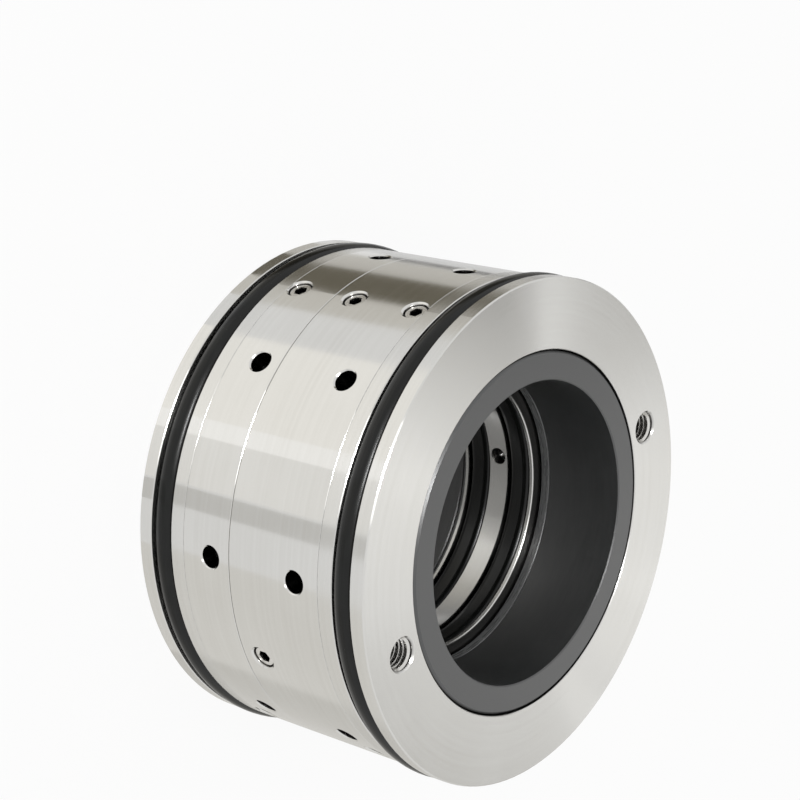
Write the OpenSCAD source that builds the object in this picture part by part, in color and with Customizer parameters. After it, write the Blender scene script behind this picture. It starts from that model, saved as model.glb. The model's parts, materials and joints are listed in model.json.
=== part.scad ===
/* [Shaft and carrier] */
// Diameter of the shaft that the seal slides on to
shaft_d = 70; // [60:0.5:80]
// Radial depth from the shaft to the nose of the carrier
carrier_wall = 10; // [9.5:0.1:11]
// Width of the land in the middle of the carrier's bore
land_w = 5.7; // [5.2:0.1:6.5]
// Width of each groove for a shaft packing ring
packing_groove_w = 7.35; // [6.9:0.05:8]
// Radial depth of that groove
packing_depth = 5.5; // [5:0.1:5.6]
// Width of the lip outside each packing groove
lip_w = 1; // [0.8:0.1:1.4]
// Width of the carrier's middle flange
flange_w = 8; // [7.6:0.1:8.6]
// How far that flange stands out beyond the face rings
flange_over = 1.5; // [1:0.1:1.8]
// Angle by which the rotor has turned from the row of screws
rotor_angle = -15; // [-45:1:45]

/* [Face rings] */
// Axial thickness of the face ring's wall
ring_web = 2.5; // [2.2:0.1:3]
// Radial thickness of the face ring's skirt
ring_skirt = 5.7; // [5.4:0.1:6.4]
// How far a face ring can be pushed back against its springs
float_l = 0.5; // [0.3:0.1:0.8]
// Room between a face ring and the carrier's flange
ring_room = 1.5; // [1.2:0.1:1.8]
// How far the bore of a face ring is set back from the seat's bore
ring_setback = 0.3; // [0.3:0.1:0.8]
// Height by which the sealing face is raised
face_h = 1.5; // [1:0.1:1.8]
// Thickness of the fluid film between the lapped faces
film = 0.02; // [0.01:0.01:0.05]

/* [Seats] */
// Room between the shaft and the bore of a seat
seat_room = 2.9; // [2.5:0.1:3.4]
// Radial thickness of a seat where it shows in the end face
seat_wall = 7.1; // [6.8:0.1:7.6]
// Gap round the seat in the end ring
seat_gap = 0.45; // [0.3:0.05:0.5]
// Chamfer on the seat's edge beside that gap
seat_edge = 0.6; // [0.3:0.1:0.8]
// Height of the seat's hidden flange
seat_flange_h = 4.4; // [4:0.1:4.8]
// Radial thickness of the lapped nose
nose_wall = 5.1; // [4.6:0.1:6]
// Length of the lapped nose
nose_l = 2; // [1.4:0.1:2.2]
// How much longer the front seat is than the rear one
seat_extra = 1.6; // [0:0.1:2]
// Section of the O-ring between an end ring and its seat
seat_oring_w = 3.1; // [2.8:0.1:3.2]

/* [Shells] */
// Room between the face rings and the bore of the shells
rotor_room = 4; // [3.5:0.1:5]
// Wall of the shells
shell_wall = 7.25; // [7:0.05:8]
// Wall of the shells where they pass over an end ring's spigot
socket_wall = 4.35; // [4:0.05:4.6]
// Length of the rear shell's spigot under the front shell
lap_l = 11; // [10:0.5:12]
// Thickness of that spigot
lap_t = 3; // [2.6:0.1:3.2]
// Distance from the middle screws to the seam between the shells
seam_margin = 6; // [5.5:0.1:6.6]
// Width of the fine open line at the seam
seam_line = 0.2; // [0.1:0.05:0.4]
// Chamfer on the shell edges at the seam
seam_chamfer = 0.12; // [0.05:0.01:0.3]
// Width of the fine open line at the end rings
joint_line = 0.06; // [0.04:0.01:0.1]
// Chamfer on the shell edges at the end rings
joint_chamfer = 0.06; // [0.04:0.01:0.1]

/* [End rings] */
// How far the rim stands out beyond the shells
rim_step = 0.75; // [0.5:0.05:1.2]
// Width of that rim
rim_w = 4; // [3.6:0.1:4.5]
// Width of the groove for the outer O-ring
groove_w = 6; // [5.9:0.1:6.6]
// Width of the collar between that groove and the shell
collar_w = 4.2; // [3.9:0.1:4.8]
// Distance from an end face to the shoulder behind the seat O-ring
shoulder_in = 11; // [10.5:0.1:11.5]
// Chamfer on the outer edge of an end face
rim_chamfer = 0.3; // [0.2:0.1:1]
// Section of the outer O-rings
outer_oring_w = 5.7; // [5.3:0.1:5.8]
// How far an outer O-ring stands out of its rim
oring_proud = 0.2; // [0:0.1:0.3]

/* [Holes] */
// Thread diameter of the two pull-out holes in the front face
pull_thread_d = 8; // [6:1:8]
// Depth of those holes
pull_depth = 9; // [8:0.5:9.5]
// Wall between those holes and the O-ring groove
pull_wall = 1.7; // [1.4:0.1:2]
// Angle of the first of them from the row of screws
pull_angle = 85.5; // [0:0.5:180]
// Diameter of the flush holes
flush_d = 5.5; // [5:0.5:6]
// Number of flush holes in each shell
flush_count = 8; // [4:4:8]
// Distance from the front end ring's spigot to the flush holes
flush_front_off = 1; // [0.5:0.1:2]
// Distance from the rear end ring's spigot to the flush holes
flush_rear_off = 2.5; // [1.5:0.1:2.8]

/* [Screws] */
// Thread diameter of the grub screws in the shells
grub_d = 6; // [5:1:6]
// Distance from an end ring's joint to the screws that lock it
lock_margin = 3.2; // [3.2:0.1:3.6]
// Number of screws that lock each end ring
lock_count = 3; // [2:1:3]
// Number of screws that lock the two shells together
lap_lock_count = 4; // [2:2:4]
// How far these stand in front of the rotor's middle
lap_lock_off = 0.3; // [-0.5:0.1:0.6]
// Thread diameter of the rotor's set screws
set_d = 5; // [4:1:5]
// Number of set screws in the rotor
set_count = 4; // [2:2:4]

/* [Springs and pins] */
// Number of springs behind each face ring
spring_count = 4; // [2:2:4]
// Outer diameter of a spring
spring_d = 4.5; // [4:0.1:4.6]
// Wire diameter of a spring
spring_wire = 0.7; // [0.5:0.1:0.8]
// Floor left under a spring's hole in the flange
spring_floor = 1.5; // [1.2:0.1:2]
// Working coils of a spring between its two closed ends
spring_coils = 4; // [3:0.5:5]
// Diameter of the drive pins
drive_pin_d = 3; // [2.5:0.5:3]
// Number of drive pins
drive_pin_count = 4; // [2:2:4]
// Diameter of the pins that stop a seat from turning
seat_pin_d = 3; // [2.5:0.5:3]
// Section of the O-ring on the carrier's nose
ring_oring_w = 2.4; // [2:0.1:2.5]
// Tessellation of round surfaces
facets = 120; // [48:12:180]

/* [Hidden] */
$fn = facets;

// Clearances, all radial or axial gaps between pieces that fit together
fit_gap = 0.05;
slide_gap = 0.3;
pocket_gap = 0.2;
rubber_gap = 0.05;
thread_gap = 0.02;
spring_gap = 0.25;
// How far a cutting body runs past the surface that it cuts
past = 1;
// The chamfers at the mouths of tapped and flush holes, and the large one inside a face ring
mouth = 0.45;
flush_mouth = 0.35;
corner = 1.2;
// Depth of the fine open lines between shells and end rings
line_depth = 0.4;

// Grub screws: how deep the top lies under the shell, the dog point and its groove
grub_sink = 0.8;
dog_r = grub_d / 4;
dog_l = 1.1;
dog_groove_w = 2 * dog_r + 0.4;

// Radii from the shaft outward
shaft_r = shaft_d / 2;
nose_r = shaft_r + carrier_wall;
ring_cb_r = nose_r + slide_gap;
ring_r = ring_cb_r + ring_skirt;
flange_r = ring_r + flange_over;
shell_bore_r = ring_r + rotor_room;
lap_r = shell_bore_r + lap_t;
shell_r = shell_bore_r + shell_wall;
spigot_r = shell_r - socket_wall;
rim_r = shell_r + rim_step;
groove_r = rim_r + oring_proud - outer_oring_w - rubber_gap;
pull_r = groove_r - pull_wall - pull_thread_d / 2;

// Radii of a seat and its pocket
seat_bore_r = shaft_r + seat_room;
seat_r = seat_bore_r + seat_wall;
neck_r = seat_r + seat_gap;
seat_flange_r = seat_r + seat_flange_h;
pocket_r = seat_flange_r + pocket_gap;
face_r = seat_flange_r - 1.4;

// Distances from an end face inward
joint_in = rim_w + groove_w + collar_w;
lock_in = joint_in + lock_margin;
spigot_in = lock_in + dog_groove_w / 2 + 1.4;
seat_flange_in = shoulder_in + seat_oring_w + 2 * rubber_gap;
rear_seat_l = spigot_in - 0.1;
front_seat_l = rear_seat_l + seat_extra;

// Distances from the rotor's middle plane outward
land_s = land_w / 2;
packing_s = land_s + packing_groove_w;
lip_s = packing_s + lip_w;
web_back = lip_s + float_l + 0.08;
face_s = web_back + ring_web;
flange_s = flange_w / 2;
ring_back = flange_s + ring_room;
ring_oring_groove_w = ring_oring_w + 0.6;
ring_oring_s = (flange_s + lip_s) / 2 + 0.35;
spring_low = spring_floor - flange_s;

// Heights over the rear face
mid_z = rear_seat_l + film + face_s;
total_l = mid_z + face_s + film + front_seat_l;
lap_lock_z = mid_z + lap_lock_off;
seam_z = lap_lock_z - seam_margin;
lap_top_z = seam_z + lap_l;
flush_front_z = total_l - spigot_in - flush_front_off;
flush_rear_z = spigot_in + flush_rear_off;

// Circle of the springs and drive pins in the middle of the face ring's skirt
drive_r = ring_cb_r + ring_skirt / 2 + 0.15;
drive_pin_out = ring_back + 1.8;
drive_slot_s = drive_pin_out + float_l + slide_gap;
set_core_r = 0.46 * set_d;
set_thread_r = shaft_r + 3;

// Turns a piece that is built inward from z = 0 into one at the front face
module at_front() {
    translate([0, 0, total_l]) mirror([0, 0, 1]) children();
}

// Repeats its children round the axis
module around(count, first = 0) {
    for (i = [0:count - 1]) rotate([0, 0, first + i * 360 / count]) children();
}

// A round hole or bar that lies along a radius, from radius a to radius b at height z
module radial(r, a, b, z) {
    translate([a, 0, z]) rotate([0, 90, 0]) cylinder(r = r, h = b - a);
}

// The cone that opens the mouth of a radial hole in the shell
module radial_mouth(r, z, size) {
    translate([shell_r - size, 0, z]) rotate([0, 90, 0])
        cylinder(r1 = r, r2 = r + 2 * size, h = 2 * size);
}

// A hexagon socket along a radius
module hex_socket(across, a, b, z) {
    translate([a, 0, z]) rotate([0, 90, 0])
        cylinder(d = across / cos(30), h = b - a, $fn = 6);
}

// A grub screw along a radius: a body from tip to top, a smaller point and a hexagon socket
module grub_screw(d, point_r, point_in, tip, top, z, across) {
    edge = 0.4;
    difference() {
        union() {
            radial(d / 2, tip, top - edge, z);
            translate([top - edge, 0, z]) rotate([0, 90, 0])
                cylinder(r1 = d / 2, r2 = d / 2 - edge, h = edge);
            if (point_in > 0) radial(point_r, tip - point_in, tip + edge, z);
        }
        hex_socket(across, top - across * 0.8, top + past, z);
    }
}

module oring(mean_r, section, z) {
    translate([0, 0, z]) rotate_extrude() translate([mean_r, 0]) circle(d = section, $fn = 48);
}

// The end ring, built from its outer face at z = 0 inward
module end_ring() {
    edge = 0.2;
    rotate_extrude() polygon([
        [neck_r, edge], [neck_r + edge, 0],
        [rim_r - rim_chamfer, 0], [rim_r, rim_chamfer], [rim_r, rim_w - edge], [rim_r - edge, rim_w],
        [groove_r, rim_w], [groove_r, rim_w + groove_w],
        [shell_r - edge, rim_w + groove_w], [shell_r, rim_w + groove_w + edge],
        [shell_r, joint_in - joint_chamfer], [shell_r - joint_chamfer, joint_in],
        [spigot_r, joint_in], [spigot_r, lock_in - dog_groove_w / 2],
        [spigot_r - dog_l, lock_in - dog_groove_w / 2], [spigot_r - dog_l, lock_in + dog_groove_w / 2],
        [spigot_r, lock_in + dog_groove_w / 2], [spigot_r, spigot_in - edge], [spigot_r - edge, spigot_in],
        [pocket_r + edge, spigot_in], [pocket_r, spigot_in - edge],
        [pocket_r, shoulder_in], [neck_r, shoulder_in]]);
}

// Holes for the two pins that stop the seat from turning
module seat_pin_holes() {
    around(2, 90) radial(seat_pin_d / 2, pocket_r - past, seat_pin_top + fit_gap, seat_pin_in);
}
seat_pin_in = seat_flange_in + seat_pin_d / 2 + 1;
seat_pin_top = spigot_r - dog_l - 1.4;
seat_pin_tip = seat_flange_r - 1.5;

// The flush holes drilled on through the spigot
module flush_holes(extra, z) {
    around(flush_count, 180 / flush_count) radial(flush_d / 2 + extra, pocket_r - past, rim_r + past, z);
}

module front_end_ring() {
    color("silver") difference() {
        at_front() end_ring();
        at_front() seat_pin_holes();
        intersection() {
            flush_holes(slide_gap, flush_front_z);
            translate([0, 0, total_l - spigot_in - past]) cylinder(r = rim_r, h = past + spigot_in - joint_in);
        }
        around(2, pull_angle) translate([pull_r, 0, total_l - pull_depth]) {
            cylinder(d = pull_thread_d, h = pull_depth + past);
            translate([0, 0, pull_depth - mouth])
                cylinder(d1 = pull_thread_d, d2 = pull_thread_d + 4 * mouth, h = 2 * mouth);
        }
    }
}

module rear_end_ring() {
    color("silver") difference() {
        end_ring();
        seat_pin_holes();
        intersection() {
            flush_holes(slide_gap, flush_rear_z);
            translate([0, 0, joint_in]) cylinder(r = rim_r, h = past + spigot_in - joint_in);
        }
    }
}

// The front shell, built from the front end ring's joint down to the seam
module front_shell() {
    top_z = total_l - joint_in;
    seat_z = total_l - spigot_in - slide_gap;
    lap_z = lap_top_z + slide_gap;
    color("silver") difference() {
        rotate_extrude() polygon([
            [lap_r + fit_gap, seam_z], [shell_r - line_depth, seam_z],
            [shell_r - line_depth, seam_z + seam_line], [shell_r - seam_chamfer, seam_z + seam_line],
            [shell_r, seam_z + seam_line + seam_chamfer], [shell_r, top_z - joint_line - joint_chamfer],
            [shell_r - joint_chamfer, top_z - joint_line], [shell_r - line_depth, top_z - joint_line],
            [shell_r - line_depth, top_z], [spigot_r + fit_gap, top_z], [spigot_r + fit_gap, seat_z],
            [shell_bore_r, seat_z], [shell_bore_r, lap_z], [lap_r + fit_gap, lap_z]]);
        flush_holes(0, flush_front_z);
        around(flush_count, 180 / flush_count) radial_mouth(flush_d / 2, flush_front_z, flush_mouth);
        around(lock_count) grub_hole(total_l - lock_in);
        around(lap_lock_count) grub_hole(lap_lock_z);
    }
}

// A tapped hole through the shell with a chamfered mouth
module grub_hole(z) {
    radial(grub_d / 2 + thread_gap, shell_bore_r - past, rim_r + past, z);
    radial_mouth(grub_d / 2 + thread_gap, z, mouth);
}

// The rear shell, with the spigot that enters the front shell
module rear_shell() {
    seat_z = spigot_in + slide_gap;
    edge = 0.3;
    color("silver") difference() {
        rotate_extrude() polygon([
            [spigot_r + fit_gap, joint_in], [shell_r - line_depth, joint_in],
            [shell_r - line_depth, joint_in + joint_line], [shell_r - joint_chamfer, joint_in + joint_line],
            [shell_r, joint_in + joint_line + joint_chamfer], [shell_r, seam_z - seam_chamfer],
            [shell_r - seam_chamfer, seam_z], [lap_r, seam_z],
            [lap_r, lap_top_z - edge], [lap_r - edge, lap_top_z],
            [shell_bore_r, lap_top_z], [shell_bore_r, seat_z], [spigot_r + fit_gap, seat_z]]);
        flush_holes(0, flush_rear_z);
        around(flush_count, 180 / flush_count) radial_mouth(flush_d / 2, flush_rear_z, flush_mouth);
        around(lock_count) grub_hole(lock_in);
        around(lap_lock_count)
            radial(grub_d / 2 + thread_gap + fit_gap, shell_bore_r - past, lap_r + past, lap_lock_z);
    }
}

module front_outer_oring() {
    color("dimgray") oring(outer_oring_r, outer_oring_w, total_l - rim_w - groove_w / 2);
}

module rear_outer_oring() {
    color("dimgray") oring(outer_oring_r, outer_oring_w, rim_w + groove_w / 2);
}
outer_oring_r = rim_r + oring_proud - outer_oring_w / 2;

// A silicon carbide seat of the given length, built from the end face inward
module seat(l) {
    edge = 0.3;
    nose_top_r = seat_bore_r + nose_wall;
    difference() {
        rotate_extrude() polygon([
            [seat_bore_r, edge], [seat_bore_r + edge, 0], [seat_r - seat_edge, 0], [seat_r, seat_edge],
            [seat_r, seat_flange_in], [seat_flange_r, seat_flange_in],
            [seat_flange_r, l - nose_l - edge], [seat_flange_r - edge, l - nose_l],
            [nose_top_r, l - nose_l], [nose_top_r, l], [seat_bore_r + edge, l], [seat_bore_r, l - edge]]);
        around(2, 90) translate([seat_pin_tip - slide_gap, -seat_slot_w / 2, seat_pin_in - seat_slot_w / 2])
            cube([seat_pin_d + past, seat_slot_w, l]);
    }
}
seat_slot_w = seat_pin_d + slide_gap;

module front_seat() {
    color("dimgray") at_front() seat(front_seat_l);
}

module rear_seat() {
    color("dimgray") seat(rear_seat_l);
}

// The O-ring that is squeezed between the shoulder and the seat's flange
module seat_oring() {
    oring(seat_r + seat_oring_w / 2 + rubber_gap, seat_oring_w, (seat_flange_in + shoulder_in) / 2);
}

module front_seat_oring() {
    color("black") at_front() seat_oring();
}

module rear_seat_oring() {
    color("black") seat_oring();
}

module seat_pins() {
    around(2, 90) radial(seat_pin_d / 2 - thread_gap, seat_pin_tip, seat_pin_top, seat_pin_in);
}

module front_seat_pins() {
    color("gray") at_front() seat_pins();
}

module rear_seat_pins() {
    color("gray") seat_pins();
}

// One grub screw that locks an end ring: its dog point stands in the spigot's groove
module lock_screw(z) {
    grub_screw(grub_d, dog_r, dog_l, spigot_r + fit_gap, shell_r - grub_sink, z, grub_d / 2);
}

module front_lock_screws() {
    color("lightgray") around(lock_count) lock_screw(total_l - lock_in);
}

module rear_lock_screws() {
    color("lightgray") around(lock_count) lock_screw(lock_in);
}

// The screws that lock the shells also plug the way in to the rotor's set screws
module shell_lock_screws() {
    color("lightgray") around(lap_lock_count)
        grub_screw(grub_d, dog_r, 0, shell_bore_r + 0.4, shell_r - grub_sink, lap_lock_z,
            grub_d / 2);
}

// Half of the carrier's outline, from the outer edge of the lip to the middle plane
function carrier_half() = [
    [shaft_r, land_s], [shaft_r + packing_depth, land_s], [shaft_r + packing_depth, packing_s],
    [shaft_r, packing_s], [shaft_r, lip_s - 0.2], [shaft_r + 0.2, lip_s],
    [nose_r - corner, lip_s], [nose_r, lip_s - corner],
    [nose_r, ring_oring_s + ring_oring_groove_w / 2],
    [ring_groove_r, ring_oring_s + ring_oring_groove_w / 2],
    [ring_groove_r, ring_oring_s - ring_oring_groove_w / 2],
    [nose_r, ring_oring_s - ring_oring_groove_w / 2],
    [nose_r, flange_s], [flange_r - 0.4, flange_s], [flange_r, flange_s - 0.4]];
ring_groove_r = ring_cb_r - 0.1 - ring_oring_w - rubber_gap;

// The other half is the same outline mirrored and walked back
function mirrored(points) = [for (i = [len(points) - 1:-1:0]) [points[i][0], -points[i][1]]];

// Moves a rotor piece to the middle plane and turns it to the rotor's angle
module on_rotor() {
    translate([0, 0, mid_z]) rotate([0, 0, rotor_angle]) children();
}

// Moves a piece of the rear half, built for the front half, to the rear
module on_rotor_rear() {
    on_rotor() mirror([0, 0, 1]) children();
}

front_spring_angle = 22.5;
rear_spring_angle = 67.5;
drive_pin_angle = 45;

module spring_holes() {
    translate([drive_r, 0, spring_low])
        cylinder(d = spring_d + 2 * spring_gap, h = flange_w + past);
}

module rotor_carrier() {
    color("silver") on_rotor() difference() {
        rotate_extrude() polygon(concat(carrier_half(), mirrored(carrier_half())));
        around(spring_count, front_spring_angle) spring_holes();
        mirror([0, 0, 1]) around(spring_count, rear_spring_angle) spring_holes();
        around(drive_pin_count, drive_pin_angle) translate([drive_r, 0, -flange_s - past])
            cylinder(d = drive_pin_d, h = flange_w + 2 * past);
        around(set_count) radial(set_core_r, shaft_r - past, set_thread_r, 0);
        around(set_count) radial(set_d / 2 + thread_gap, set_thread_r, flange_r + past, 0);
    }
}

// A packing ring for the shaft, an O-ring squeezed to nearly fill its groove
module packing() {
    side = 0.2;
    high = shaft_r + packing_depth - rubber_gap;
    round_r = (high - shaft_r) * 0.4;
    rotate_extrude() round_pad(shaft_r, high, land_s + side, packing_s - side, round_r);
}

// A rectangle with four round corners
module round_pad(x0, x1, y0, y1, r) {
    translate([x0 + r, y0]) square([x1 - x0 - 2 * r, y1 - y0]);
    translate([x0, y0 + r]) square([x1 - x0, y1 - y0 - 2 * r]);
    for (x = [x0 + r, x1 - r]) for (y = [y0 + r, y1 - r]) translate([x, y]) circle(r = r, $fn = 48);
}

module front_shaft_packing() {
    color("black") on_rotor() packing();
}

module rear_shaft_packing() {
    color("black") on_rotor_rear() packing();
}

ring_oring_r = ring_groove_r + rubber_gap + ring_oring_w / 2;

module front_ring_oring() {
    color("black") on_rotor() oring(ring_oring_r, ring_oring_w, ring_oring_s);
}

module rear_ring_oring() {
    color("black") on_rotor_rear() oring(ring_oring_r, ring_oring_w, ring_oring_s);
}

// Set screws that grip the shaft, backed off so that their points stay out of the bore
module shaft_set_screws() {
    tip = set_thread_r + fit_gap;
    point_r = set_core_r - 0.3;
    color("gray") on_rotor() around(set_count) {
        grub_screw(set_d, point_r, 0.3, tip, tip + 6, 0, set_d / 2);
        translate([tip - 0.3 - point_r, 0, 0]) rotate([0, 90, 0]) cylinder(r1 = 0.2, r2 = point_r, h = point_r);
    }
}

module drive_pins() {
    color("gray") on_rotor() around(drive_pin_count, drive_pin_angle)
        translate([drive_r, 0, -drive_pin_out]) cylinder(d = drive_pin_d - 2 * thread_gap, h = 2 * drive_pin_out);
}

// Height along a spring after the given number of turns, with one closed turn at each end
function coil_z(turn, coils, low, high, wire) =
    let (closed = wire * 1.06, pitch = (high - low - wire - 2 * closed) / coils)
    low + wire / 2 + (turn < 1 ? turn * closed
        : turn < 1 + coils ? closed + (turn - 1) * pitch
        : closed + coils * pitch + (turn - 1 - coils) * closed);

// A round wire wound into a compression spring from height low to height high
module spring(mean_r, wire, coils, low, high) {
    steps = 10;
    sides = 6;
    rings = round((coils + 2) * steps);
    points = [for (i = [0:rings]) let (turn = i / steps, z = coil_z(turn, coils, low, high, wire))
        for (j = [0:sides - 1]) let (reach = mean_r + wire / 2 * cos(360 * j / sides))
            [reach * cos(360 * turn), reach * sin(360 * turn), z + wire / 2 * sin(360 * j / sides)]];
    skin = [for (i = [0:rings - 1]) for (j = [0:sides - 1]) let (k = (j + 1) % sides)
        [i * sides + j, (i + 1) * sides + j, (i + 1) * sides + k, i * sides + k]];
    ends = [[for (j = [0:sides - 1]) j], [for (j = [sides - 1:-1:0]) rings * sides + j]];
    polyhedron(points = points, faces = concat(skin, ends));
}

module ring_springs(first) {
    around(spring_count, first) translate([drive_r, 0, 0])
        spring((spring_d - spring_wire) / 2, spring_wire, spring_coils,
            spring_low + fit_gap, ring_back - fit_gap);
}

module front_springs() {
    color("gray") on_rotor() ring_springs(front_spring_angle);
}

module rear_springs() {
    color("gray") on_rotor_rear() ring_springs(rear_spring_angle);
}

// A rotating face ring: a lapped front wall and a skirt that slides on the carrier's nose
module face_ring() {
    edge = 0.3;
    bore_r = seat_bore_r + ring_setback;
    difference() {
        rotate_extrude() polygon([
            [bore_r, web_back], [bore_r, face_s - edge], [bore_r + edge, face_s],
            [face_r, face_s], [face_r, face_s - face_h],
            [ring_r - edge, face_s - face_h], [ring_r, face_s - face_h - edge], [ring_r, ring_back],
            [ring_cb_r + edge, ring_back], [ring_cb_r, ring_back + edge],
            [ring_cb_r, web_back - corner], [ring_cb_r - corner, web_back]]);
        around(drive_pin_count, drive_pin_angle) {
            translate([drive_r, 0, ring_back - past])
                cylinder(d = drive_pin_d + slide_gap, h = drive_slot_s - ring_back + past);
            translate([drive_r, -(drive_pin_d + slide_gap) / 2, ring_back - past])
                cube([ring_skirt, drive_pin_d + slide_gap, drive_slot_s - ring_back + past]);
        }
    }
}

module front_face_ring() {
    color("dimgray") on_rotor() face_ring();
}

module rear_face_ring() {
    color("dimgray") on_rotor_rear() face_ring();
}

front_end_ring();
rear_end_ring();
front_shell();
rear_shell();
front_outer_oring();
rear_outer_oring();
front_seat();
rear_seat();
front_seat_oring();
rear_seat_oring();
front_seat_pins();
rear_seat_pins();
front_lock_screws();
rear_lock_screws();
shell_lock_screws();
rotor_carrier();
front_shaft_packing();
rear_shaft_packing();
front_ring_oring();
rear_ring_oring();
shaft_set_screws();
drive_pins();
front_springs();
rear_springs();
front_face_ring();
rear_face_ring();
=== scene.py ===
# %% [markdown]
# # A double mechanical seal
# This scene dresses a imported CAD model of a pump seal: a turned stainless drum with two grey
# silicon carbide seats, black O-rings, rows of holes and grub screws, and a rotor inside.
# The pieces could be modelled again here, but the CAD solids already have the right shape, place
# and fit. So they stay, and most of the work is in their metal, rubber and ceramic. Only what CAD
# leaves out, such as thread turns, is built here.

# %% Load the frame
import bpy, bmesh, json, math
from mathutils import Matrix, Vector


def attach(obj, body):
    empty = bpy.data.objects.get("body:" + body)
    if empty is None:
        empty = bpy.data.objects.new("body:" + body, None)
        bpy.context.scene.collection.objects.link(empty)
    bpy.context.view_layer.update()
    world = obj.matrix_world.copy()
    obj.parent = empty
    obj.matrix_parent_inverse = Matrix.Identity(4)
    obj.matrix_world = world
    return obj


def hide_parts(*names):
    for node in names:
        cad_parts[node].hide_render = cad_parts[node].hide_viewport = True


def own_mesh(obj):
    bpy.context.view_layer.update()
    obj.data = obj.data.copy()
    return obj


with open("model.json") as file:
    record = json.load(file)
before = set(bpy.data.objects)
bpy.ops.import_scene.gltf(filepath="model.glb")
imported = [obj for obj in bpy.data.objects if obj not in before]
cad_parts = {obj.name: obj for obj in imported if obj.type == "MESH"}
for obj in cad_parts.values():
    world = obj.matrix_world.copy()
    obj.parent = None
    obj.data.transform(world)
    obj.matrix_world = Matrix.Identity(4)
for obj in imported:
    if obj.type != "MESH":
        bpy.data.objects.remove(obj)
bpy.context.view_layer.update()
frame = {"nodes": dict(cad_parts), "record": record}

nodes = frame["nodes"]
mm = 0.001

# %% [markdown]
# ## Small steps of a material
# A procedural material is a chain of small nodes: one multiplies, one measures a length, one
# turns a range into another. They can be placed and linked by hand in the shader editor. In code
# a chain reads better with one helper for each kind of node, which makes the node, feeds its
# inputs and hands back its output for the next step.

# %% Feed a socket
def feed(tree, value, socket):
    """Links a node's output to the socket, or writes a plain value into it."""
    if isinstance(value, bpy.types.NodeSocket):
        tree.links.new(value, socket)
    else:
        socket.default_value = value

print("a socket takes a link or a plain value")

# %% Steps with vectors and numbers
def vector_step(tree, operation, first, second=None):
    """One Vector Math node."""
    step = tree.nodes.new("ShaderNodeVectorMath"); step.operation = operation
    feed(tree, first, step.inputs[0])
    if second is not None:
        feed(tree, second, step.inputs["Scale" if operation == "SCALE" else 1])
    return step.outputs["Value" if operation == "LENGTH" else "Vector"]


def number_step(tree, operation, first, second=None):
    """One Math node."""
    step = tree.nodes.new("ShaderNodeMath"); step.operation = operation
    feed(tree, first, step.inputs[0])
    if second is not None:
        feed(tree, second, step.inputs[1])
    return step.outputs["Value"]

print("steps for vectors and numbers are ready")

# %% From one range to another
def spread(tree, value, from_low, from_high, to_low=0.0, to_high=1.0):
    """One Map Range node, which also clamps."""
    step = tree.nodes.new("ShaderNodeMapRange")
    step.inputs["From Min"].default_value = from_low
    step.inputs["From Max"].default_value = from_high
    step.inputs["To Min"].default_value = to_low
    step.inputs["To Max"].default_value = to_high
    feed(tree, value, step.inputs["Value"])
    return step.outputs["Result"]

print("a range can be turned into another")

# %% [markdown]
# ## Surfaces that follow the lathe
# Nearly every piece here was turned, so its marks run round the shaft axis. A picture of such
# marks would need an unwrapped mesh, while a noise needs only a place in space. One that follows
# the lathe needs three things at each point: how far it is from the axis, how high it is, and
# where it is on the circle. The direction on the circle is given as a point on a small circle,
# not as an angle, because an angle jumps where the circle closes. The distance goes in as the
# fourth number of a 4D noise.

# %% Coordinates round the axis
def own_place(tree):
    """The point on the object, in metres from its origin."""
    return tree.nodes.new("ShaderNodeTexCoord").outputs["Object"]


def lathe_coordinates(tree, along, across):
    """A place for noise that is long round the axis and short along and away from it."""
    place = own_place(tree)
    flat = vector_step(tree, "MULTIPLY", place, (1, 1, 0))
    circle = vector_step(tree, "SCALE", vector_step(tree, "NORMALIZE", flat), along)
    high = vector_step(tree, "MULTIPLY", place, (0, 0, across))
    far = number_step(tree, "MULTIPLY", vector_step(tree, "LENGTH", flat), across)
    return vector_step(tree, "ADD", circle, high), far

grooves_per_metre = 1100
print("the widest grooves are about", round(1 / grooves_per_metre / mm, 2), "mm apart")

# %% Noise round the axis
def lathe_noise(tree, along, across, detail):
    """Noise that runs round the axis."""
    where, far = lathe_coordinates(tree, along, across)
    grain = tree.nodes.new("ShaderNodeTexNoise"); grain.noise_dimensions = "4D"
    grain.inputs["Scale"].default_value = 1.0
    grain.inputs["Detail"].default_value = detail
    feed(tree, where, grain.inputs["Vector"])
    feed(tree, far, grain.inputs["W"])
    return grain.outputs["Fac"]

print("lathe noise is ready")

# %% Noise that follows no direction
def cloud_noise(tree, scale, detail=3):
    """Soft patches at a small scale, a fine grain at a large one."""
    cloud = tree.nodes.new("ShaderNodeTexNoise")
    cloud.inputs["Scale"].default_value = scale
    cloud.inputs["Detail"].default_value = detail
    feed(tree, own_place(tree), cloud.inputs["Vector"])
    return cloud.outputs["Fac"]

print("cloudy noise is ready")

# %% Noise drives gloss and tint
noise_low, noise_high = 0.3, 0.7  # nearly all values of a noise lie between these

def gloss_range(tree, noise, low, high):
    """A roughness between low and high."""
    return spread(tree, noise, noise_low, noise_high, low, high)


def tint(tree, noise, dark, light):
    """A colour between dark and light."""
    ramp = tree.nodes.new("ShaderNodeValToRGB")
    for stop, place, color in zip(ramp.color_ramp.elements, (noise_low, noise_high), (dark, light)):
        stop.position = place
        stop.color = (*color, 1)
    feed(tree, noise, ramp.inputs["Fac"])
    return ramp.outputs["Color"]

print("noise drives gloss and tint between", noise_low, "and", noise_high)

# %% Noise drives relief
def relief(tree, noise, shader, depth, strength):
    """Marks too fine for a mesh, as a bump on the shader's normal."""
    bump = tree.nodes.new("ShaderNodeBump")
    bump.inputs["Distance"].default_value = depth
    bump.inputs["Strength"].default_value = strength
    feed(tree, noise, bump.inputs["Height"])
    feed(tree, bump.outputs["Normal"], shader.inputs["Normal"])

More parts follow.
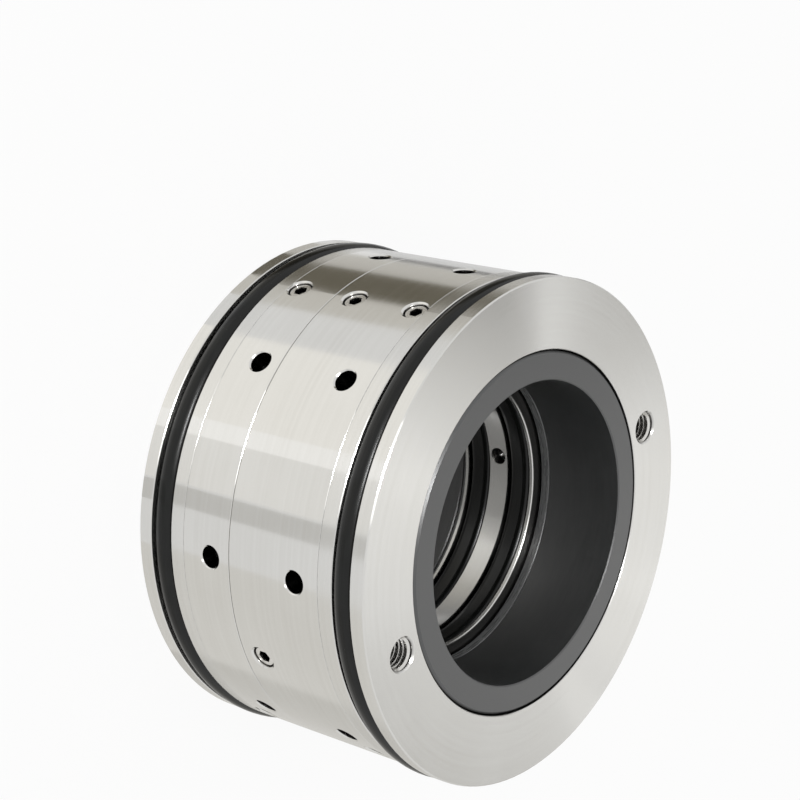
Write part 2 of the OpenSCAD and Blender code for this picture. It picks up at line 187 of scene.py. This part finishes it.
print("noise drives relief through a bump")

# %% [markdown]
# ## Polished outside, painted shade in its holes
# A shell, an end ring or a screw head is polished where a wheel or a cloth reaches it. Its holes,
# grooves and sockets lie in shade and look nearly black, and this shade is painted into the colour.
# A second material on the inner faces would need the mesh cut up, so the colour fades by the
# distance from the axis instead: painted shade below one radius and polished above another. The
# two end faces are polished at every radius, so they are told apart by their height.

# %% The two end faces
half_length, unshaded_within, shaded_from = 35.5 * mm, 0.1 * mm, 0.6 * mm

def end_faces(tree, place):
    """1 on the two end faces, fading to 0 at 0.6 mm below them, which keeps the painted shade off the
    end faces.
    """
    parts = tree.nodes.new("ShaderNodeSeparateXYZ")
    feed(tree, place, parts.inputs["Vector"])
    centred = number_step(tree, "SUBTRACT", parts.outputs["Z"], half_length)
    away = number_step(tree, "ABSOLUTE", centred)
    return spread(tree, away, half_length - shaded_from, half_length - unshaded_within)

print("end faces at", 0, "and", round(2 * half_length / mm, 1), "mm")

# %% Fade to painted shade
def paint_shade_below(tree, color, radii, dull, ends):
    """Fades from the painted shade colour at the first radius in mm to the polished one at the second.
    """
    place = own_place(tree)
    in_mm = vector_step(tree, "MULTIPLY", place, (1 / mm, 1 / mm, 0))
    polished = spread(tree, vector_step(tree, "LENGTH", in_mm), *radii)
    if ends:
        polished = number_step(tree, "MAXIMUM", polished, end_faces(tree, place))
    blend = tree.nodes.new("ShaderNodeMix"); blend.data_type = "RGBA"
    feed(tree, polished, blend.inputs["Factor"])
    feed(tree, (*dull, 1), blend.inputs["A"])
    feed(tree, color, blend.inputs["B"])
    return blend.outputs["Result"]

# painted shade: holes, grooves and sockets darken by distance from the axis
print("dull holes fade in by distance from the axis")

# %% [markdown]
# ## Turned stainless steel
# A lathe tool leaves fine grooves round the axis. They spread light across themselves and hardly
# along themselves, so an edge of light stays sharp along the drum, and a lamp becomes a fan on
# the end face. Real grooves would take millions of faces. The anisotropic setting of the metal
# shader does the same, with a tangent that runs round the axis and a quarter turn, because the
# blur has to cross the grooves. A fine noise varies colour and gloss a little from groove to
# groove, and a cloudy one adds faint smudges.

# %% Grooves and smudges
shade, shine = (0.610, 0.603, 0.580), (0.662, 0.658, 0.640)

def grooves_and_smudges(tree):
    """The lathe's grooves alone, and mixed half and half with smudges."""
    grooves = lathe_noise(tree, along=0.8, across=grooves_per_metre, detail=3)
    both = tree.nodes.new("ShaderNodeMix")
    both.inputs["Factor"].default_value = 0.5
    feed(tree, grooves, both.inputs["A"])
    feed(tree, cloud_noise(tree, scale=45), both.inputs["B"])
    return grooves, both.outputs["Result"]

print("steel from", shade, "to", shine)

# %% A blank material
def new_material(name):
    """A material, its node tree and its shader."""
    material = bpy.data.materials.new(name)
    material.use_nodes = True
    return material, material.node_tree, material.node_tree.nodes["Principled BSDF"]

print("materials so far", len(bpy.data.materials))

# %% Turned steel
def turned_steel(name, gloss, polished=None, dull=None, ends=False):
    """Steel with grooves round the axis, and painted shade inside of its two polished radii."""
    material, tree, shader = new_material(name)
    grooves, both = grooves_and_smudges(tree)
    color = tint(tree, both, shade, shine)
    if polished:
        color = paint_shade_below(tree, color, polished, dull, ends)
    feed(tree, color, shader.inputs["Base Color"])
    feed(tree, gloss_range(tree, both, gloss - 0.025, gloss + 0.025), shader.inputs["Roughness"])
    shader.inputs["Metallic"].default_value = 1.0
    shader.inputs["Anisotropic"].default_value = 1.0
    shader.inputs["Anisotropic Rotation"].default_value = 0.25
    tangent = tree.nodes.new("ShaderNodeTangent")
    tangent.direction_type = "RADIAL"; tangent.axis = "Z"
    feed(tree, tangent.outputs["Tangent"], shader.inputs["Tangent"])
    relief(tree, grooves, shader, depth=0.001 * mm, strength=0.2)
    return material

print("turned steel can be made")

# %% Four turned steels
# the pairs are distances from the axis in mm: painted shade up to the first, polished from the second
# the colours of the painted shade in holes and in grooves
hole_shade_color, groove_shade_color = (0.10, 0.098, 0.095), (0.30, 0.295, 0.285)
groove_floor, shell_wall, carrier_bore = (59, 59.5), (61.5, 61.8), (35.6, 35.2)

steel = turned_steel("turned stainless", 0.20)
ring_steel = turned_steel("end ring stainless", 0.20, groove_floor, groove_shade_color, ends=True)
shell_steel = turned_steel("shell stainless", 0.12, shell_wall, hole_shade_color)
bore_steel = turned_steel("carrier stainless", 0.20, carrier_bore, hole_shade_color)
print("steels", [m.name for m in (steel, ring_steel, shell_steel, bore_steel)])

# %% [markdown]
# ## Ground silicon carbide
# The seats and face rings are a grey ceramic, ground and lapped. It is matt and dense, with a
# very fine speckle and no colour. It could pass for a rough metal, but a metal this dark would
# lose the pale sheen at a low angle. A non-metal shader with a high index of refraction keeps
# it, and a small speckle stops it from looking like paint. The face rings get a lighter colour,
# painted light that makes them look a little lighter deep in the bore.

# %% Ground carbide
def ground_carbide(name, dark, light, gloss):
    """A dense grey ceramic with a fine speckle."""
    material, tree, shader = new_material(name)
    speck = lathe_noise(tree, along=6, across=1500, detail=3)
    feed(tree, tint(tree, speck, dark, light), shader.inputs["Base Color"])
    feed(tree, gloss_range(tree, speck, gloss - 0.04, gloss + 0.04), shader.inputs["Roughness"])
    shader.inputs["IOR"].default_value = 1.88
    relief(tree, speck, shader, depth=0.003 * mm, strength=0.5)
    return material

print("ground carbide can be made")

# %% Two carbides
seat_dark, seat_light = (0.017, 0.0185, 0.019), (0.026, 0.0275, 0.028)
# the face rings' lighter colour is painted light for their place deep in the bore
face_dark, face_light = (0.10, 0.103, 0.104), (0.15, 0.153, 0.154)
carbide = ground_carbide("ground silicon carbide", seat_dark, seat_light, 0.34)
lightened_face_carbide = ground_carbide("face carbide with painted light", face_dark, face_light, 0.28)
print("carbides", carbide.name, lightened_face_carbide.name)

# %% [markdown]
# ## Rubber
# O-rings and packing rings are moulded rubber: nearly black, smooth but never mirror-like, with
# a faint bloom on the surface. A plain black would look like a hole in the picture. The dark
# base keeps its depth and a soft gloss gives the long thin highlight. Its specular level is
# low, because a white room would turn its shaded side grey.

# %% Moulded rubber
def moulded_rubber(name):
    """Nearly black, with a faint bloom."""
    material, tree, shader = new_material(name)
    bloom = lathe_noise(tree, along=12, across=900, detail=4)
    color = tint(tree, bloom, (0.003, 0.0035, 0.003), (0.007, 0.0075, 0.007))
    feed(tree, color, shader.inputs["Base Color"])
    feed(tree, gloss_range(tree, bloom, 0.17, 0.25), shader.inputs["Roughness"])
    shader.inputs["Specular IOR Level"].default_value = 0.28
    relief(tree, bloom, shader, depth=0.01 * mm, strength=0.4)
    return material

rubber = moulded_rubber("moulded rubber")
print("rubber", rubber.name)

# %% [markdown]
# ## Drawn and hardened steel
# Screws, pins and springs come from drawn wire or bar, and are far too small to show lathe
# grooves. They could share the drum's steel, but its grooves run round the wrong axis for them.
# An even fine grain in colour and gloss is enough. The grub screws' sockets and the holes
# around them lie in shade, so the same fade as above paints that shade into their colour.

# %% Drawn steel
# colour of the painted shade in the grub screws' sockets
socket_shade_color = (0.045, 0.044, 0.042)

def drawn_steel(name, dark, light, gloss, polished=None):
    """Steel with an even fine grain, and painted shade inside of its two polished radii if they are
    given.
    """
    material, tree, shader = new_material(name)
    grain = cloud_noise(tree, scale=2200)
    color = tint(tree, grain, dark, light)
    if polished:
        color = paint_shade_below(tree, color, polished, socket_shade_color, ends=False)
    feed(tree, color, shader.inputs["Base Color"])
    feed(tree, gloss_range(tree, grain, gloss - 0.05, gloss + 0.08), shader.inputs["Roughness"])
    shader.inputs["Metallic"].default_value = 1.0
    relief(tree, grain, shader, depth=0.005 * mm, strength=0.4)
    return material

print("drawn steel can be made")

# %% Four small steels
# painted shade in the screw sockets up to the first radius in mm, polished from the second
screw_head = (60.85, 61.1)
screw_steel = drawn_steel("screw steel", (0.60, 0.59, 0.57), (0.72, 0.71, 0.69), 0.22, screw_head)
# the shaft's set screws sit deep in their holes, so their steel is darker as painted shade
shaded_set_steel = drawn_steel("set screw steel with painted shade", (0.30, 0.30, 0.29), (0.42, 0.42, 0.41), 0.25)
pin_steel = drawn_steel("pin steel", (0.55, 0.55, 0.54), (0.66, 0.66, 0.65), 0.25)
spring_steel = drawn_steel("spring steel", (0.45, 0.45, 0.44), (0.60, 0.60, 0.59), 0.3)
print("small steels", [m.name for m in (screw_steel, shaded_set_steel, pin_steel, spring_steel)])

# %% [markdown]
# ## Dressing the pieces
# Every CAD piece keeps its mesh and gets one of the finishes above. They could be given by hand,
# one after the other, but the record already names a material slot for each piece, so a table
# does most of it. A few pieces have a finish of their own: the shells, end rings and carrier
# get painted shade in their holes, the face rings a lighter colour as painted light, and the
# shaft's set screws a darker colour as painted shade.

# %% Dress the CAD nodes
finish_of = {
    "steel": steel, "rubber": rubber, "carbide": carbide,
    "hard_steel": pin_steel, "screw_steel": screw_steel, "spring_steel": spring_steel,
}
own_finish = {
    "front_end_ring": ring_steel, "rear_end_ring": ring_steel,
    "front_shell": shell_steel, "rear_shell": shell_steel,
    "rotor_carrier": bore_steel, "shaft_set_screws": shaded_set_steel,
    "front_face_ring": lightened_face_carbide, "rear_face_ring": lightened_face_carbide,
}
for piece in frame["record"]["subparts"]:
    node = nodes[piece["node"]]
    node.data.materials.clear()
    node.data.materials.append(own_finish.get(piece["node"], finish_of[piece["material_slot"]]))

# %% [markdown]
# ## Wound forms
# A thread and a coil spring are the same kind of form: one section that walks along a helix. A
# screw modifier could make them, but it has a single pitch and leaves both ends open, and a
# bevelled curve may twist its section on the way. So the section is placed in code ring after
# ring, the rings are joined, and the two ends are closed, which gives a clean solid mesh.

# %% Join the rings
def skin(mesh, rings):
    """Joins each ring of points to the next and closes both ends."""
    for near, far in zip(rings, rings[1:]):
        for j in range(len(near)):
            k = (j + 1) % len(near)
            mesh.faces.new((near[j], far[j], far[k], near[k]))
    mesh.faces.new(rings[0]); mesh.faces.new(reversed(rings[-1]))

print("rings can be joined and closed")

# %% Make an object of the rings
def wound_object(name, mesh, sharp, material):
    """Makes an object of the mesh, smooth but for edges over sharp degrees."""
    bmesh.ops.recalc_face_normals(mesh, faces=mesh.faces)
    data = bpy.data.meshes.new(name)
    mesh.to_mesh(data); mesh.free()
    for face in data.polygons:
        face.use_smooth = True
    data.set_sharp_from_angle(angle=math.radians(sharp))
    data.materials.append(material)
    piece = bpy.data.objects.new(name, data)
    bpy.context.scene.collection.objects.link(piece)
    return piece

print("wound forms can become objects")

# %% [markdown]
# ## Thread turns in the tapped holes
# The two pull-out holes are tapped M8 with a pitch of 1.25 mm. CAD leaves a plain hole at the
# thread's outer radius. A bump on its wall would look like a thread from afar but have no edge
# against the light, so the metal between the turns is added: one ridge that winds down the wall
# like a ramp. Its section is a flat-topped tooth whose foot lies just inside the wall, and it
# fades out over a third of a turn at both ends.

# %% The thread's sizes
front_face, hole_circle, hole_angles = 71, 51.75, (85.5, 265.5)
root_r, crest_r, thread_pitch = 4.03, 3.38, 1.25
thread_top, thread_turns, ring_steps = 0.35, 6.4, 36
thinnest = 0.02  # the tooth never fades to nothing, so its end rings keep an area
foot_width, crest_width = 0.44 * thread_pitch, 0.13 * thread_pitch
tooth = [(root_r, foot_width), (crest_r, crest_width), (crest_r, -crest_width), (root_r, -foot_width)]
print("tooth", round(root_r - crest_r, 2), "mm high,", round(thread_turns * thread_pitch, 1), "mm deep")

# %% A ridge that winds down a hole
def thread_ridge(name, mouth):
    """Winds the tooth down the hole whose mouth has its middle at mouth."""
    up = Vector((0, 0, 1))
    side = up.orthogonal().normalized()
    other = up.cross(side)
    count, fade_steps = int(thread_turns * ring_steps), ring_steps / 3
    mesh = bmesh.new()
    rings = []
    for i in range(count + 1):
        angle = 2 * math.pi * i / ring_steps
        depth = thread_top + foot_width + thread_pitch * i / ring_steps
        away = side * math.cos(angle) + other * math.sin(angle)
        fade = max(min(1.0, i / fade_steps, (count - i) / fade_steps), thinnest)
        ring = []
        for reach, shift in tooth:
            out = away * (root_r + (reach - root_r) * fade)
            ring.append(mesh.verts.new((mouth + out - up * (depth - shift)) * mm))
        rings.append(ring)
    skin(mesh, rings)
    return wound_object(name, mesh, 30, thread_steel)

print("rings in a ridge", int(thread_turns * ring_steps) + 1)

# %% Threads of the pull-out holes
thread_steel = drawn_steel("thread steel", (0.60, 0.59, 0.56), (0.68, 0.67, 0.65), 0.2)
for number, degrees in enumerate(hole_angles, start=1):
    angle = math.radians(degrees)
    mouth = Vector((hole_circle * math.cos(angle), hole_circle * math.sin(angle), front_face))
    ridge = thread_ridge(f"pull_out_thread_{number}", mouth)
    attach(ridge, "housing")
    print(ridge.name, "faces", len(ridge.data.polygons))

# %% [markdown]
# ## Coil springs
# Four small springs push each face ring against its seat. The CAD springs are hidden and wound
# again here, with a rounder wire and the same size, and with one closed turn at each end as on a
# real spring. Like the CAD solids, they keep one length and don't get shorter when the ring slides
# back.

# %% Height along a spring
wire, coil_r, coils, spring_length, ring_travel = 0.7, 1.9, 4, 7.9, 0.5
closed_rise = wire * 1.06  # closed turns lie just clear of each other
open_rise = (spring_length - wire - 2 * closed_rise) / coils

def coil_height(turn):
    """Height of the wire's middle over the spring's foot after some turns."""
    first_closed, open_turns = min(turn, 1), min(max(turn - 1, 0), coils)
    last_closed = max(turn - 1 - coils, 0)
    return wire / 2 + (first_closed + last_closed) * closed_rise + open_turns * open_rise

print("spring heights", [round(coil_height(t), 2) for t in range(coils + 3)])

# %% One spring
spring_steps, wire_sides = 24, 12

def spring_rings(mesh, foot, up):
    """The rings of one spring that stands on foot and winds upwards (1) or downwards (-1)."""
    high = Vector((0, 0, 1))
    rings = []
    for i in range((coils + 2) * spring_steps + 1):
        turn = 2 * math.pi * i / spring_steps
        out = Vector((math.cos(turn), math.sin(turn), 0))
        middle = foot + out * coil_r + high * (up * coil_height(i / spring_steps))
        ring = []
        for j in range(wire_sides):
            around = 2 * math.pi * j / wire_sides
            ring.append(mesh.verts.new(
                (middle + wire / 2 * (out * math.cos(around) + high * math.sin(around))) * mm))
        rings.append(ring)
    return rings

print("rings in a spring", (coils + 2) * spring_steps + 1)

# %% Four springs on a circle
spring_circle = 48.3

def wind_springs(name, node, first, foot, up):
    """Winds four springs from the height foot and lets them follow the joint."""
    mesh = bmesh.new()
    for spring in range(4):
        angle = math.radians(first + 90 * spring)
        place = Vector((spring_circle * math.cos(angle), spring_circle * math.sin(angle), foot))
        skin(mesh, spring_rings(mesh, place, up))
    wound = wound_object(name, mesh, 50, spring_steel)
    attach(wound, "rotor")
    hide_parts(node)
    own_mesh(wound)
    print(name, "faces", len(wound.data.polygons))

front_foot, rear_foot = 32.25, 37.15
wind_springs("front_coil_springs", "front_springs", 7.5, front_foot, 1)
wind_springs("rear_coil_springs", "rear_springs", 52.5, rear_foot, -1)

# %% [markdown]
# ## Camera
# The photograph looks down on the front face from 38 degrees above it. A camera could be set by
# eye, but its place, roll and lens were worked out from the edges of the rings and the rows of
# holes, so that these fall where they do in the photograph. The real seal lies on its side
# there, while this one stands on its end, so the camera is rolled to show it alike.

# %% Camera
right = Vector((-0.24197, -0.59004, 0.77026))
up = Vector((0.81296, -0.55664, -0.17103))
back = right.cross(up)
eye = Vector((0.29853, 0.29259, 0.34739))
camera_data = bpy.data.cameras.new("camera")
camera_data.sensor_width = 36
camera_data.lens = 92.39
camera_data.clip_start = 0.01
camera = bpy.data.objects.new("camera", camera_data)
camera.matrix_world = Matrix.Translation(eye) @ Matrix((right, up, back)).transposed().to_4x4()
bpy.context.scene.collection.objects.link(camera)
bpy.context.scene.camera = camera
print("camera looks down by", round(math.degrees(math.asin(back.z))), "degrees")

# %% [markdown]
# ## A white floor and a white room
# The photograph has a pure white ground. More light would make one too, but it would burn out
# the steel. So the floor and the room only look white to rays that come from the camera, or
# from it by way of a mirror or glass. For all other rays the floor is plain pale paper, which
# keeps the soft shadow.

# %% Which rays see white
def seen_or_mirrored(tree):
    """1 for rays that see the backdrop directly, in a mirror or through glass, else 0."""
    path = tree.nodes.new("ShaderNodeLightPath")
    value = path.outputs["Is Camera Ray"]
    for kind in ("Is Glossy Ray", "Is Transmission Ray"):
        value = number_step(tree, "MAXIMUM", value, path.outputs[kind])
    return value

print("camera, glossy and transmission rays see white")

# %% A bare tree
def bare_tree(owner):
    """Clears the nodes of a material or world and hands back its tree."""
    owner.use_nodes = True
    owner.node_tree.nodes.clear()
    return owner.node_tree

print("a material or world can start without nodes")

# %% White paper
paper_color, white, seen_glow = (0.85, 0.85, 0.84, 1), (1, 1, 1, 1), 0.9
paper = bpy.data.materials.new("white paper")
tree = bare_tree(paper)
dull = tree.nodes.new("ShaderNodeBsdfDiffuse"); dull.inputs["Color"].default_value = paper_color
glow = tree.nodes.new("ShaderNodeEmission"); glow.inputs["Color"].default_value = white
blend = tree.nodes.new("ShaderNodeMixShader")
feed(tree, number_step(tree, "MULTIPLY", seen_or_mirrored(tree), seen_glow), blend.inputs["Fac"])
feed(tree, dull.outputs["BSDF"], blend.inputs[1])
feed(tree, glow.outputs["Emission"], blend.inputs[2])
out = tree.nodes.new("ShaderNodeOutputMaterial")
feed(tree, blend.outputs["Shader"], out.inputs["Surface"])
print("paper nodes", len(tree.nodes))

# %% Floor
edge, floor_drop = 3.0, 0.2 * mm  # a little below the cards that will lie over it
corners = [(-edge, -edge, 0), (edge, -edge, 0), (edge, edge, 0), (-edge, edge, 0)]
floor_mesh = bpy.data.meshes.new("floor")
floor_mesh.from_pydata(corners, [], [(0, 1, 2, 3)])
floor_mesh.materials.append(paper)
floor = bpy.data.objects.new("floor", floor_mesh)
floor.location.z = -floor_drop
bpy.context.scene.collection.objects.link(floor)
print("floor", round(2 * edge, 1), "m wide")

# %% World
room_light, room_seen = 0.8, 1.0
world = bpy.data.worlds.new("studio")
bpy.context.scene.world = world
tree = bare_tree(world)
room = tree.nodes.new("ShaderNodeBackground"); room.inputs["Color"].default_value = white
feed(tree, spread(tree, seen_or_mirrored(tree), 0, 1, room_light, room_seen), room.inputs["Strength"])
out = tree.nodes.new("ShaderNodeOutputWorld")
feed(tree, room.outputs["Background"], out.inputs["Surface"])
print("world", world.name, "lights with strength", room_light)

# %% [markdown]
# ## One soft lamp
# The room itself gives most of the light. Alone it would leave no side brighter than another,
# so one large soft lamp near the camera adds direction and a soft shadow.

# %% Lamp
lamp_place, lamp_aim = Vector((0.80, 0.52, 1.02)), Vector((0, 0, 0.03))
lamp_data = bpy.data.lights.new("key", "AREA")
lamp_data.shape = "RECTANGLE"
lamp_data.size = lamp_data.size_y = 0.8
lamp_data.energy = 2.8
lamp = bpy.data.objects.new("key", lamp_data)
lamp.location = lamp_place
lamp.rotation_euler = (lamp_aim - lamp_place).to_track_quat("-Z", "Y").to_euler()
bpy.context.scene.collection.objects.link(lamp)
print("lamp", round(lamp_data.energy, 1), "W at", round((lamp_place - lamp_aim).length, 2), "m")

# %% [markdown]
# ## Cards and how they are aimed
# Shiny metal shows what stands around it, so a photographer puts grey and white cards where the
# metal mirrors them. Painting bands on the steel would fix them to the piece, while a card's
# reflection slides as it does on real steel. A card here is one flat sheet that gives off an
# even grey or white and is seen by mirrored rays only. A card on the floor is aimed by the law of
# mirrors: at two points of the drum's wall the ray from the eye is turned over the wall's
# normal, and the card fills the floor between the two turned rays. A card in the air is named
# by its compass direction and height, and a slice of floor in the bore by its directions.

# %% A sheet that mirrors see
def mirrored_sheet(name, corners):
    """A flat sheet, seen by mirrored rays only. Corners in mm."""
    mesh = bpy.data.meshes.new(name)
    mesh.from_pydata([Vector(c) * mm for c in corners], [], [tuple(range(len(corners)))])
    sheet = bpy.data.objects.new(name, mesh)
    sheet.visible_camera = sheet.visible_diffuse = False
    sheet.visible_shadow = sheet.visible_transmission = False
    bpy.context.scene.collection.objects.link(sheet)
    return sheet

print("sheets are seen by mirrored rays only")

# %% One card
cards = []

def card(name, corners, level, warm=0.03):
    """A sheet that glows evenly: grey where its level is below 1, bright where it is above."""
    sheet = mirrored_sheet(name, corners)
    paint = bpy.data.materials.new(name)
    tree = bare_tree(paint)
    lit = tree.nodes.new("ShaderNodeEmission")
    lit.inputs["Color"].default_value = (level, level * (1 - 0.3 * warm), level * (1 - warm), 1)
    out = tree.nodes.new("ShaderNodeOutputMaterial")
    feed(tree, lit.outputs["Emission"], out.inputs["Surface"])
    sheet.data.materials.append(paint)
    cards.append(name)

print("cards", len(cards))

# %% A card on the floor
drum_radius = 62.5
in_front, behind = (298.5, 292.6), (-380, -380)

def floor_card(name, first, last, level, warm=0.03, start=0, reach=900, eye=in_front):
    """The floor that the drum's side mirrors between two angles, to someone who stands at eye."""
    corners = []
    for degrees in (first, last):
        angle = math.radians(degrees)
        out = Vector((math.cos(angle), math.sin(angle)))
        wall = drum_radius * out
        to_eye = Vector(eye) - wall
        along = (2 * to_eye.dot(out) * out - to_eye).normalized()
        corners.append([(*(wall + along * far), 0) for far in (start, reach)])
    (a, b), (c, d) = corners
    card(name, [a, b, d, c], level, warm)

print("floor cards start at", drum_radius, "mm from the axis")

# %% A card in the air
def upright_card(name, first, last, low, high, level, warm=0.03, distance=900):
    """A card between two directions of the compass and two heights, in degrees."""
    corners = []
    for degrees, up_degrees in ((first, low), (last, low), (last, high), (first, high)):
        angle, rise = math.radians(degrees), math.radians(up_degrees)
        out, above = distance * math.cos(rise), distance * math.sin(rise)
        corners.append((out * math.cos(angle), out * math.sin(angle), front_face + above))
    card(name, corners, level, warm)

print("upright cards are measured from the front face at", front_face, "mm")

# %% A card in the bore
bore_reach = 34

def bore_card(name, first, last, level, warm=0.03):
    """A slice of floor inside the bore, which the carrier's middle land mirrors."""
    steps = max(2, round(abs(last - first) / 10))
    turn = [math.radians(first + (last - first) * i / steps) for i in range(steps + 1)]
    rim = [(bore_reach * math.cos(angle), bore_reach * math.sin(angle), 0) for angle in turn]
    card(name, [(0, 0, 0)] + rim, level, warm)

print("bore cards reach", bore_reach, "mm from the axis")

# %% [markdown]
# ## Cards round the drum
# From the photograph's top to its bottom, the drum shows a pale strip, a sharp brown band, a
# slope up to a broad bright side, one soft darker band and a calm lower side. One card with a
# painted gradient could do it all, but single cards are easier to match, one after the other.
# A few more do the same for someone behind the seal, so that its back looks like metal too.

# %% Cards round the drum
# name, first and last angle on the drum, level, warmth
floor_card("far strip", -36, -26, 0.78, 0.0)
floor_card("cool strip", -25, -21.5, 0.25, 0.02, start=30)
floor_card("pale strip", -21, -11.5, 0.66, 0.09)
floor_card("dark band", -11.5, -0.5, 0.17, 0.30)
floor_card("slope", -0.5, 7, 0.76, 0.09)
floor_card("bright side", 17, 38, 1.18, 0.05)
floor_card("bright line", 38, 42, 1.26, 0.02)
floor_card("middle", 42, 53, 1.06)
floor_card("soft band", 53.5, 58, 0.76)
floor_card("lower side", 68, 97, 0.89, 0.05)
floor_card("lowest side", 97, 125, 0.74, 0.06)
print("cards round the drum", len(cards))

# %% Cards for the back
# the same columns, for an eye behind the seal
floor_card("back dark band", 206, 213, 0.12, 0.3, eye=behind)
floor_card("back slope", 213, 220, 0.62, 0.08, eye=behind)
floor_card("back bright side", 224, 235, 1.15, 0.05, eye=behind)
floor_card("back soft band", 238, 243, 0.7, eye=behind)
print("cards with those for the back", len(cards))

# %% [markdown]
# ## Cards in the bore
# Deep in the bore the carrier's middle land shines from dark at its top to bright at its bottom.
# A lamp in the bore would light the rubber and carbide as well, so slices of floor, which only
# its polished land mirrors, shade it step by step.

# %% Cards in the bore
# name, first and last angle round the axis, level, warmth
bore_card("bore dim", 120, 270, 0.27)
bore_card("bore dusk", 270, 292, 0.66, 0.12)
bore_card("bore dawn", 292, 320, 0.95, 0.10)
bore_card("bore bright", 320, 377, 1.35)
bore_card("bore half", 17, 56, 0.66)
bore_card("bore low", 56, 120, 0.46)
print("cards with those in the bore", len(cards))

# %% [markdown]
# ## Cards above the face
# On a turned face, each part mirrors a narrow fan of directions that swings round with it. More
# lamps would draw a fan as well, but a hard one. A bright column and grey flags behind the seal
# grade it from light to grey as in the photograph. One narrow strip light, near the camera, draws
# the thin white lines on the chamfers and on the O-rings.

# %% Cards above the face
# name, first and last direction, lowest and highest angle, level, warmth
upright_card("bright column", -142, -128, 5, 75, 1.15, 0.02)
upright_card("low window", -149, -146, 11, 17, 3.0, 0.02, distance=850)
upright_card("brown flag", -124, -100, 36.5, 43.3, 0.12, 0.15, distance=850)
upright_card("right flag", -124, -88, 8, 32, 0.5, 0.04)
upright_card("upper flag", -124, -88, 42, 60, 0.3, 0.12)
upright_card("left flag", -185, -148, 8, 50, 0.68, 0.04)
upright_card("strip light", 22, 44, 43, 51, 32, 0.0, distance=1000)
print("all cards", len(cards))

# %% [markdown]
# ## Finish
# The last step keeps the plain Standard view, because a filmic one would change every colour
# that was matched above.

# %% Finish
bpy.context.view_layer.update()
bpy.context.scene.view_settings.view_transform = "Standard"
